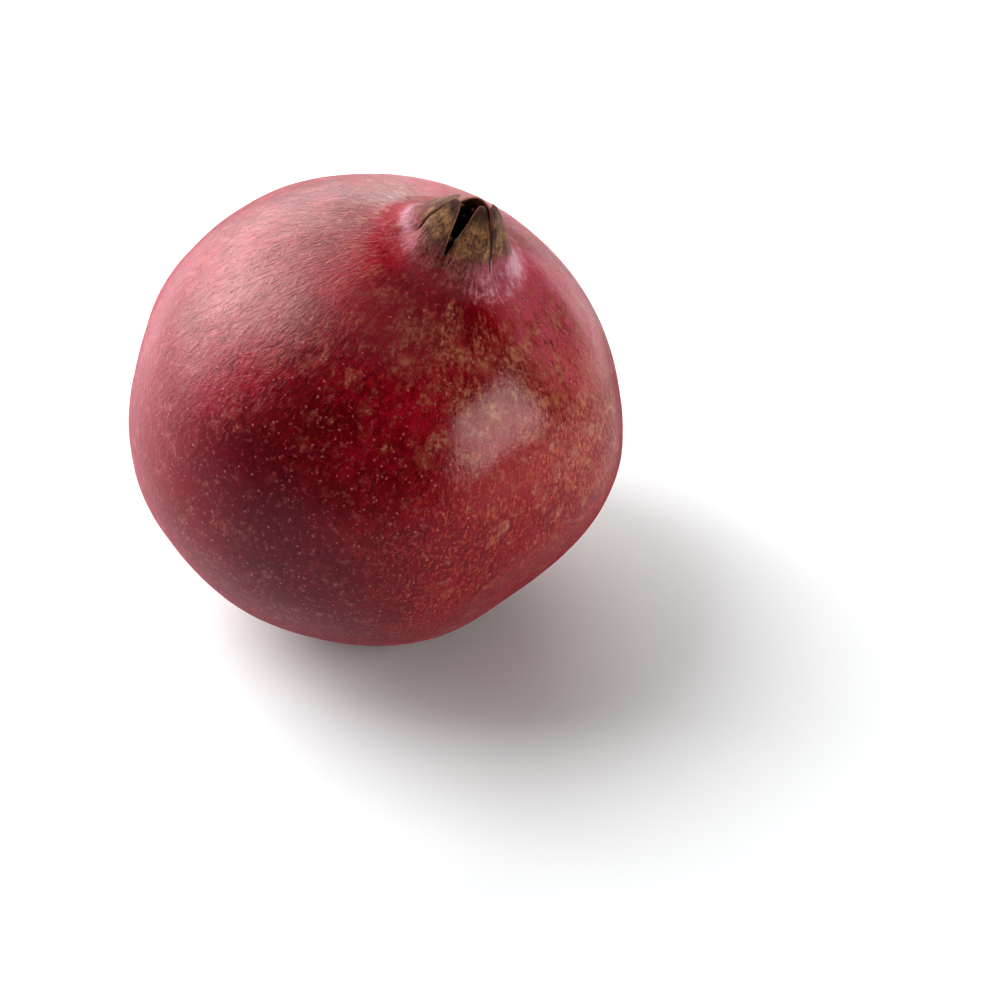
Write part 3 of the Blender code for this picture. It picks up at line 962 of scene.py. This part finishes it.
def make_dried(name, dark, middle, pale, mark=None):
    """A dried flower part: brown in fine shreds, paler where it is marked."""
    material = bpy.data.materials.new(name)
    material.use_nodes = True
    tree = material.node_tree
    shader = tree.nodes["Principled BSDF"]
    at = FruitPlace(Flow(tree))
    shreds = at.noise(2.6, 4.0, 0.65)
    brown = shreds.ramp((0.36, dark), (0.50, middle), (0.66, pale))
    if mark:
        marked = at.start.node("ShaderNodeAttribute", {"attribute_name": mark}, output=2)
        brown = brown.over(linear(190, 150, 92), marked * (0.4 + 0.6 * shreds))
    tree.links.new(brown.socket, shader.inputs["Base Color"])
    bump = at.start.node("ShaderNodeBump", None, {"Distance": MM, "Height": shreds * 0.2})
    tree.links.new(bump.socket, shader.inputs["Normal"])
    shader.inputs["Roughness"].default_value = 0.7
    return material


style.data.materials.append(
    make_dried("withered_style_brown", (40, 22, 16), (84, 50, 34), (128, 88, 58))
)
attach(style, "root")
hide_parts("style")

# ---------------------------------------------------------------------------
# The stamens: thirty dried threads in two whorls on the cup's wall, leaning in and
# up, each carrying a swollen anther grooved down the middle.
# ---------------------------------------------------------------------------
STAMEN_RINGS = [(0.0, 0.22), (0.8, 0.20), (1.7, 0.18), (2.6, 0.17), (3.4, 0.17), (3.55, 0.27),
                (3.75, 0.36), (4.05, 0.37), (4.2, 0.28), (4.3, 0.14)]
STAMENS = 30
STAMEN_LENGTH = 4.3 * MM
STAMEN_OFF_WALL = 0.75 * MM
LEANING_IN = 1.7 * MM
LOWER_WHORL_HEIGHT = 1.7 * MM
UPPER_WHORL_HIGHER = 1.6 * MM
UPPER_WHORL_LONGER = 0.5 * MM
UPPER_WHORL_STRAIGHTER = 1.2 * MM
LENGTH_UNEVENNESS = 0.6 * MM
LEAN_UNEVENNESS = 0.3 * MM
ANTHER_START = 3.45 * MM
ANTHER_FLATTENING = 0.62
ANTHER_GROOVE = 0.25

first = grow_stalk("first_stamen", 0.0, STAMEN_RINGS, 10)
first.data.attributes.new("anther", "FLOAT", "POINT")
anther_mark = first.data.attributes["anther"].data
for vertex in first.data.vertices:
    on_anther = vertex.co.z > ANTHER_START
    anther_mark[vertex.index].value = 1.0 if on_anther else 0.0
    if on_anther:
        turn = math.atan2(vertex.co.y, vertex.co.x)
        vertex.co.x *= 1.0 - ANTHER_GROOVE * math.sin(turn) ** 2
        vertex.co.y *= ANTHER_FLATTENING
stamen_brown = make_dried(
    "dried_stamen_brown", (52, 30, 18), (104, 68, 40), (146, 106, 66), "anther"
)
for number in range(STAMENS):
    upper = number % 2
    around = 2 * math.pi * (number + 0.5) / STAMENS
    wander = math.sin(5.1 * number + 1.0)
    foot = CUP_FLOOR + LOWER_WHORL_HEIGHT + UPPER_WHORL_HIGHER * upper
    length = STAMEN_LENGTH + UPPER_WHORL_LONGER * upper
    length += LENGTH_UNEVENNESS * math.sin(2.3 * number)
    inward = LEANING_IN - UPPER_WHORL_STRAIGHTER * upper + LEAN_UNEVENNESS * wander
    lobe_height, tip_radius = lobe_at(math.degrees(around))[:2]
    bpy.ops.object.select_all(action="DESELECT")
    bpy.context.view_layer.objects.active = first
    first.select_set(True)
    bpy.ops.object.duplicate()
    stamen = bpy.context.object
    stamen.name = f"dried_stamen_{number + 1:02d}"
    for vertex in stamen.data.vertices:
        share = vertex.co.z / STAMEN_LENGTH
        height = foot + length * share
        up = max(0.0, (height - SLIT_HEIGHT) / lobe_height)
        out = cup_wall(tip_radius, up) - STAMEN_OFF_WALL - inward * share ** 1.2 + vertex.co.y
        turn = around + 0.08 * wander * share + vertex.co.x / out
        vertex.co = Vector((out * math.cos(turn), out * math.sin(turn), height))
        vertex.co += crown_shift(height)
    lay_down(stamen)
    stamen.data.materials.append(stamen_brown)
    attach(stamen, "root")
    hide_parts(f"stamen_{number + 1:02d}")
bpy.data.objects.remove(first)

# ---------------------------------------------------------------------------
# The surface it rests on, the studio light and the camera.
# ---------------------------------------------------------------------------
bpy.ops.object.select_all(action="DESELECT")
bpy.ops.mesh.primitive_plane_add(size=6.0, location=(0, 0, 0))
floor = bpy.context.object
floor.name = "floor"
paper = bpy.data.materials.new("white_paper")
paper.use_nodes = True
paper_shader = paper.node_tree.nodes["Principled BSDF"]
paper_shader.inputs["Base Color"].default_value = (0.84, 0.86, 0.86, 1)
paper_shader.inputs["Roughness"].default_value = 0.9
floor.data.materials.append(paper)

world = bpy.data.worlds.new("studio")
world.use_nodes = True
backdrop = world.node_tree.nodes["Background"]
backdrop.inputs["Color"].default_value = (1.0, 1.0, 1.0, 1)
backdrop.inputs["Strength"].default_value = 0.06
bpy.context.scene.world = world

CAMERA_TURN = math.radians(10.8)
CAMERA_RISE = math.radians(40)
CAMERA_DISTANCE = 0.5375
AIM_RIGHT_OF_FRUIT = 24.2 * MM
AIM_BELOW_FRUIT = 18.4 * MM
toward_camera = Vector((
    math.sin(CAMERA_TURN) * math.cos(CAMERA_RISE),
    -math.cos(CAMERA_TURN) * math.cos(CAMERA_RISE),
    math.sin(CAMERA_RISE),
))
camera_right = Vector((math.cos(CAMERA_TURN), math.sin(CAMERA_TURN), 0))
camera_up = toward_camera.cross(camera_right)
aim = BODY_CENTRE + camera_right * AIM_RIGHT_OF_FRUIT - camera_up * AIM_BELOW_FRUIT


def soft_panel(name, right, back, up, size, strength):
    """An oblong soft light, placed to the right of, behind and above the fruit as the
    camera sees it, facing the fruit."""
    behind = Vector((-math.sin(CAMERA_TURN), math.cos(CAMERA_TURN), 0))
    place = BODY_CENTRE + camera_right * right + behind * back + Vector((0, 0, up))
    bpy.ops.object.light_add(type="AREA", location=place)
    panel = bpy.context.object
    panel.name = name
    panel.data.shape = "RECTANGLE"
    panel.data.size, panel.data.size_y = size
    panel.data.energy = strength
    panel.rotation_euler = (BODY_CENTRE - place).to_track_quat("-Z", "Y").to_euler()


def at_angle(turn, rise, distance):
    """Right, back and up of a place: degrees round from the camera's side to the
    right, degrees above the floor."""
    turn = math.radians(turn)
    rise = math.radians(rise)
    return (
        distance * math.sin(turn) * math.cos(rise),
        -distance * math.cos(turn) * math.cos(rise),
        distance * math.sin(rise),
    )


soft_panel("left_panel", *at_angle(-105, 38, 1.0), (0.68, 1.35), 11.0)
soft_panel("back_panel", *at_angle(-157, 25, 1.2), (1.8, 0.95), 15.2)
soft_panel("right_panel", *at_angle(66, 17, 0.5), (0.38, 0.26), 1.2)
soft_panel("top_panel", *at_angle(0, 85, 1.2), (1.2, 1.2), 0.9)

bpy.ops.object.camera_add()
camera = bpy.context.object
camera.name = "camera"
camera.data.lens = 100
camera.data.sensor_width = 36
camera.data.clip_start = 0.01
camera.location = aim + toward_camera * CAMERA_DISTANCE
camera.rotation_euler = (-toward_camera).to_track_quat("-Z", "Y").to_euler()
bpy.context.scene.camera = camera
bpy.context.scene.view_settings.view_transform = "Standard"
bpy.context.scene.view_settings.look = "High Contrast"
